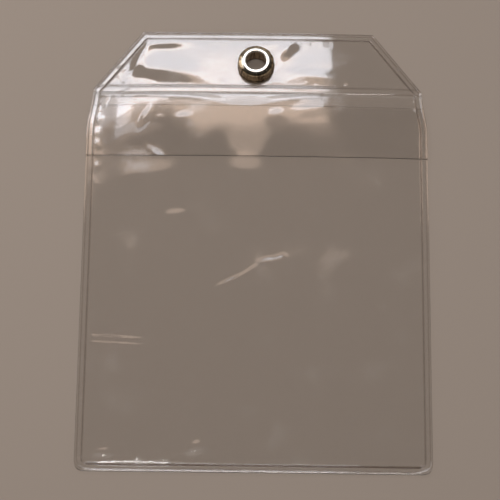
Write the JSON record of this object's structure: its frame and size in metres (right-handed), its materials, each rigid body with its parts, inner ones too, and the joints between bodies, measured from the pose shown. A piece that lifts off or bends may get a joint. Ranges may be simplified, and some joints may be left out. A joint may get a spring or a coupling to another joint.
{
  "type": "clear document sleeve",
  "caption": "Clear welded film sleeve lying flat, with a pocket, a hood that tucks over its mouth, cut corners on the header and a hanging eyelet.",
  "frame": {"origin": "on the surface that the sleeve lies on, at the middle of its length and width", "axes": "+Y up the sleeve towards the header and its eyelet, +Z out of its front, +X to the right seen from the front"},
  "size_m": [0.11, 0.153, 0.005],
  "materials": {
    "clear_film": "polished clear flexible vinyl film with faint scuffs",
    "nickel_plate": "warm nickel plate, polished on the crest and tarnished on the skirt"
  },
  "bodies": {
    "root": {"back_sheet": "clear_film", "pocket_sheet": "clear_film", "hood_sheet": "clear_film", "eyelet": "nickel_plate", "eyelet_washer": "nickel_plate"}
  },
  "joints": []
}
